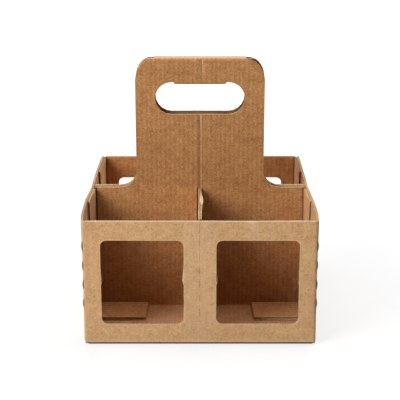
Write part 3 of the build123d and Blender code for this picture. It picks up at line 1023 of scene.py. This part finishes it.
    half, rim = handleCut["creaseHalf"], handleCut["grooveRim"]
    lines = [handleCut[k] + d for k in ("creaseAt", "gripCreaseAt") for d in (-half, 0.0, half)]
    for edge in (-handleCut["flapCrease"], handleCut["flapCrease"], *handleCut["dividerShadeLine"]):
        lines += [edge - rim, edge, edge + rim]
    rows = [handleCut["footFrom"], handleCut["footFrom"] + handleCut["footFade"], creases[1][1],
            creases[0][2], spineFold[0] - handleCut["spineMargin"], spineEnd[1] + handleCut["spineMargin"]]
    for begin, end in (spineFold[:2], spineEnd[:2]):
        rows += [begin + (end - begin) * share for share in handleCut["spineLines"]]
    pile.addBoard([outline, *holes], lambda a, s, w: (a, *pathPlace(path, s, w)), path=path,
                  across=0, lines=(lines, rows), swell=swell, wearAndPaintedLight=wearAndPaintedLight)


def makeComfortFlap(pile):
    # tongue left on the front ply at the top of the hand-hole, turned back up behind it
    ply = handleFront(holeTop)
    back = ply + comfortFlap["turn"]
    bottom = holeTop - comfortFlap["drop"] + halfBoard
    path = foldPath([(ply, holeTop + comfortFlap["slip"]), (ply, bottom), (back, bottom),
                     (back, bottom + comfortFlap["rise"])], [comfortFlap["fold"], carrier["foldRadius"]])
    half, root = comfortFlap["width"] / 2, comfortFlap["root"]
    edge = arcPoints((half + root, root), root, 270, 180, steps=5) + [(half, path[-1][1])]
    outline = edge + [(-a, s) for a, s in edge[::-1]]
    underShadeEnd = path[-1][0] + comfortFlap["underShadeEnd"]

    def wearAndPaintedLight(a, s, w):
        # painted shade over the flap's folded bottom
        fade = smoothStep(s / comfortFlap["underShadeFade"])
        return 0.0, comfortFlap["paintedShade"] * (fade * smoothStep((underShadeEnd - s) / comfortFlap["underShadeEndFade"]))

    pile.addBoard([outline], lambda a, s, w: (a, *pathPlace(path, s, w)), path=path, across=0,
                  finishes=(outerLiner, innerLiner), wearAndPaintedLight=wearAndPaintedLight,
                  lines=((), (comfortFlap["underShadeFade"], underShadeEnd)))


# Anchor flaps, glued inside the end walls, with the feet that turn in over the floor

anchorCut = {
    "length": 34.5, "footInset": 5.5, "drop": 0.5,
    "footReach": 42.8, "footFront": 39.4, "footBackGap": 0.3, "footLift": 0.6, "footSkew": 1.1,
    "footTilt": 0.9, "tiltRun": 8.0,                        # the foot rides up where it meets the ply
    "bendRoom": 1.1,           # for the bend between ply and flap
    "foldStep": 0.4, "foldLine": 3.0, "wearFrom": 1.0,
    # painted shade on the foot's cut edge; its top liner's edge is rubbed pale
    "edgeShade": 0.85, "edgeReach": 0.05, "edgeRub": 0.5, "edgeBand": 0.7,
}


def makeAnchorFlap(pile, side):
    footMiddle = board["caliper"] + anchorCut["footLift"] + halfBoard
    top = wallTop - anchorCut["drop"]
    path = foldPath([(innerLine, top), (innerLine, footMiddle),
                     (halfWidth - anchorCut["footReach"], footMiddle)], [carrier["foldRadius"]])
    foldHeight = footMiddle + foldOuter
    atFold = top - foldHeight
    clear = halfBoard + anchorCut["bendRoom"]
    freeTop = behind(handleCut["frontShoulder"] - anchorCut["length"])
    freeFoot = freeTop - anchorCut["footInset"]
    footFront = behind(anchorCut["footFront"])
    footBack = behind(plyBehind(False, board["caliper"]) - clear - anchorCut["footBackGap"])
    footEnd, footStart = path[-1][1], atFold + anchorCut["foldStep"]
    outline = [(freeTop, 0), (behind(handleCut["frontShoulder"]) - clear, 0),
               (behind(plyBehind(False, foldHeight)) - clear, atFold), (footBack, footStart),
               (footBack, footEnd), (footFront, footEnd - anchorCut["footSkew"]),
               (footFront, footStart), (freeFoot, atFold)]

    def place(a, s, w):
        x, z = pathPlace(path, s, w)
        back = (a - footFront) / (footBack - footFront)
        tilt = anchorCut["footTilt"] * back * smoothStep((s - atFold) / anchorCut["tiltRun"])
        return side * x, a, z + tilt

    def wearAndPaintedLight(a, s, w):
        # painted shade on the foot's cut edge, but for the top liner's, which is rubbed
        if s < atFold + anchorCut["wearFrom"]:
            return 0.0, 0.0
        shaded = a < footFront + anchorCut["edgeReach"] and w < halfBoard / 2
        rub = anchorCut["edgeRub"] * smoothStep(1 - (a - footFront) / anchorCut["edgeBand"])
        return rub, anchorCut["edgeShade"] if shaded else 0.0

    rows = (atFold, atFold + anchorCut["foldLine"], atFold + anchorCut["tiltRun"], *pinchLines(0))
    pile.addBoard([outline], place, path=path, across=0, flip=side > 0, wearAndPaintedLight=wearAndPaintedLight,
                  swell=lambda a, s, w: w * pinch(s), finishes=(outerLiner, innerLiner),
                  lines=((footFront + anchorCut["edgeBand"],), rows))


# Dividers: upright boards with a glue flap behind the outer wall and a tab in the ply's slot

dividerCut = {
    "start": 90.0,             # the path's length up to the outer wall's face
    "gap": 0.3, "flapWidth": 9.5, "flapDrop": 4.0, "tabReach": 4.0,
    "footBevel": (0.5, 0.6), "foldStep": 0.4, "lines": (1.0, 2.5, 5.0),
    "bulgeFrom": 26.0, "bulgeTo": 70.0, "bulge": 1.5,       # one liner has come off the flutes
    "splitFrom": 6.0, "splitTo": 30.0, "split": 0.25,
    "fade": 14.0, "tornDepth": 3.0, "fluff": 0.55,
    "fluffFrom": 38.0,         # nearer the front wall the lifted liner is clean, with a dark gap
    "fluffFade": 5.0,
}


def makeDivider(name, rear):
    facing = -1 if rear else 1
    flapFace = board["caliper"] * 3 / 2 + board["glueGap"]
    start = dividerCut["start"]

    def fromWall(distance):
        return behind(carrier["depth"] - distance) if rear else behind(distance)

    path = foldPath([(0, fromWall(start)), (0, fromWall(flapFace)),
                     (facing * dividerCut["flapWidth"], fromWall(flapFace))], [carrier["foldRadius"]])
    spread = abs(plyBehind(rear, wallTop) - plyBehind(rear, halfBoard))
    lean = halfBoard / math.cos(math.atan2(spread, wallTop))

    def atPly(height, past=0.0):
        distance = plyBehind(rear, height)
        if rear:
            distance = carrier["depth"] - distance
        return start - (distance - lean - dividerCut["gap"] + past)

    low = board["caliper"]
    tabLow = handleCut["tabMiddle"] - handleCut["tabHeight"] / 2
    tabHigh = tabLow + handleCut["tabHeight"]
    half = dividerCut["tabReach"] / 2
    through = 2 * lean + dividerCut["gap"] + dividerCut["tabReach"]
    total = path[-1][1]
    flapTop = wallTop - dividerCut["flapDrop"]
    foldAt = path[1][0]
    footLow = low + foldOuter
    bevelUp, bevelIn = dividerCut["footBevel"]
    besideFold = foldAt - dividerCut["foldStep"]
    outline = [(low, atPly(low) + bevelIn), (low + bevelUp, atPly(low)), (tabLow, atPly(tabLow)),
               (tabLow, atPly(tabLow, through - half)), (tabLow + half, atPly(tabLow, through)),
               (tabHigh - half, atPly(tabLow, through)), (tabHigh, atPly(tabLow, through - half)),
               (tabHigh, atPly(tabHigh)), (wallTop, atPly(wallTop)), (wallTop, besideFold),
               (flapTop, foldAt), (flapTop, total), (footLow, total), (footLow, foldAt), (low, besideFold)]

    def lifted(label, distance, power=1):
        begin, end = dividerCut[label + "From"], dividerCut[label + "To"]
        share = (distance - begin) / (end - begin)
        return dividerCut[label] * math.sin(math.pi * share) ** power if 0 < share < 1 else 0.0

    def swell(a, s, w):
        if rear:
            return w
        distance = start - s
        fade = smoothStep(1 - (wallTop - a) / dividerCut["fade"])
        bulge, split = lifted("bulge", distance, 2), lifted("split", distance)
        if w > halfBoard - hair:
            return w + fade * (bulge + split)
        if w > halfBoard - board["liner"] - hair:
            torn = smoothStep(1 - (wallTop - a) / dividerCut["tornDepth"])
            torn *= smoothStep((distance - dividerCut["fluffFrom"]) / dividerCut["fluffFade"])
            return w + fade * (bulge * (1 - torn) + split) - torn * bulge * dividerCut["fluff"]
        return w + fade * split * w / halfBoard

    pile = BoardPile()
    pile.addBoard([outline], lambda a, s, w: (*pathPlace(path, s, w), a), path=path, across=1, swell=swell,
                  lines=([wallTop - drop for drop in dividerCut["lines"]], ()), inside=cutEdge)
    return pile.build(name + "_board", name)


def makeBlank():
    pile = BoardPile()
    makeFrontBelt(pile)
    makeRearBelt(pile)
    makeStrip(pile)
    makeComfortFlap(pile)
    for side in (-1, 1):
        makeAnchorFlap(pile, side)
    return pile.build("carrier_blank_board", "carrier_blank")


blank = makeBlank()
for dividerName, isRear in (("front_divider", False), ("rear_divider", True)):
    dividerPiece = makeDivider(dividerName, isRear)


# Camera, from the photo's perspective: places and sizes in metres, angle in degrees, power in watts

camera = {"lens": 102.0, "sensor": 36.0, "down": 17.46, "distance": 0.8303, "height": 0.3429, "clip": 50.0}
studio = {
    "aim": (0.0, -0.03, 0.07),
    "keyPlace": (-0.95, -0.72, 0.83), "keySize": 0.85, "keyPower": 22.0,
    "sidePlace": (-0.61, 0.19, 1.2), "sideSize": 1.3, "sidePower": 8.5,
    "rearPlace": (0.4, 0.58, 1.17), "rearSize": 1.5, "rearPower": 25.0,
    "fillPlace": (1.22, -0.47, 0.82), "fillSize": 1.5, "fillPower": 0.9,
    "ambient": 0.02,
    "floorReach": 12.0,
    "floorGrey": 0.5,          # what lights the object from below
    "floorSeen": 0.22,         # what takes the object's shadow
    "glowNear": 0.7, "glowFar": 1.0,                        # how white it shows to the camera,
    "glowFrom": 0.3, "glowTo": 0.9,                         # at these distances from the middle
}


def addCamera():
    data = bpy.data.cameras.new("camera")
    data.sensor_width = camera["sensor"]
    data.lens = camera["lens"]
    data.clip_end = camera["clip"]
    holder = bpy.data.objects.new("camera", data)
    holder.location = (0, -camera["distance"], camera["height"])
    holder.rotation_euler = (math.radians(90 - camera["down"]), 0, 0)
    bpy.context.collection.objects.link(holder)
    bpy.context.scene.camera = holder


def addLamp(name, place, size, power):
    data = bpy.data.lights.new(name, "AREA")
    data.size = size
    data.energy = power
    data.color = (1.0, 1.0, 1.0)
    lamp = bpy.data.objects.new(name, data)
    lamp.location = place
    lamp.rotation_euler = (Vector(studio["aim"]) - Vector(place)).to_track_quat("-Z", "Y").to_euler()
    bpy.context.collection.objects.link(lamp)


def addDirect(tree):
    # 1 where the camera sees it, itself or in a reflection
    rays = addNode(tree, "LightPath")
    direct = addNode(tree, "Math", {"operation": "MAXIMUM"},
                     {0: rays.outputs["Is Camera Ray"], 1: rays.outputs["Is Glossy Ray"]})
    return rays, direct.outputs["Value"]


def grey(level):
    return (level, level, level, 1.0)


def addFloor():
    mesh = bpy.data.meshes.new("studio_floor")
    reach = studio["floorReach"]
    mesh.from_pydata([(-reach, -reach, 0), (reach, -reach, 0), (reach, reach, 0), (-reach, reach, 0)],
                     [], [(0, 1, 2, 3)])
    floor = bpy.data.objects.new("studio_floor", mesh)
    bpy.context.collection.objects.link(floor)
    material = bpy.data.materials.new("matteWhiteSweep")
    material.use_nodes = True
    tree = material.node_tree
    tree.nodes.remove(tree.nodes["Principled BSDF"])
    seen = addDirect(tree)[1]
    matte = addNode(tree, "BsdfDiffuse", {"Color": grey(studio["floorGrey"])})
    shaded = addNode(tree, "BsdfDiffuse", {"Color": grey(studio["floorSeen"])})
    place = addNode(tree, "TexCoord").outputs["Object"]
    away = addNode(tree, "VectorMath", {"operation": "LENGTH"}, {0: place})
    level = addNode(tree, "MapRange", {"From Min": studio["glowFrom"], "From Max": studio["glowTo"],
                    "To Min": studio["glowNear"], "To Max": studio["glowFar"]},
                    {"Value": away.outputs["Value"]})
    glow = addNode(tree, "Emission", {"Color": grey(1.0)}, {"Strength": level.outputs["Result"]})
    both = addNode(tree, "AddShader", {}, {0: shaded.outputs["BSDF"], 1: glow.outputs["Emission"]})
    either = addNode(tree, "MixShader", {}, {0: seen, 1: matte.outputs["BSDF"],
                     2: both.outputs["Shader"]})
    tree.links.new(either.outputs["Shader"], tree.nodes["Material Output"].inputs["Surface"])
    mesh.materials.append(material)


def addWorld():
    world = bpy.data.worlds.new("studio")
    bpy.context.scene.world = world
    world.use_nodes = True
    tree = world.node_tree
    background = tree.nodes["Background"]
    rays, direct = addDirect(tree)
    seen = addNode(tree, "Math", {"operation": "MAXIMUM"},
                   {0: direct, 1: rays.outputs["Is Transmission Ray"]})
    level = addNode(tree, "MapRange", {"To Min": studio["ambient"], "To Max": 1.0},
                    {"Value": seen.outputs["Value"]})
    tree.links.new(level.outputs["Result"], background.inputs["Strength"])
    background.inputs["Color"].default_value = grey(1.0)


addCamera()
for lampName in ("key", "side", "rear", "fill"):
    addLamp(lampName, *(studio[lampName + part] for part in ("Place", "Size", "Power")))
addFloor()
addWorld()
bpy.context.scene.view_settings.view_transform = "Standard"
print("camera, lamps and floor")
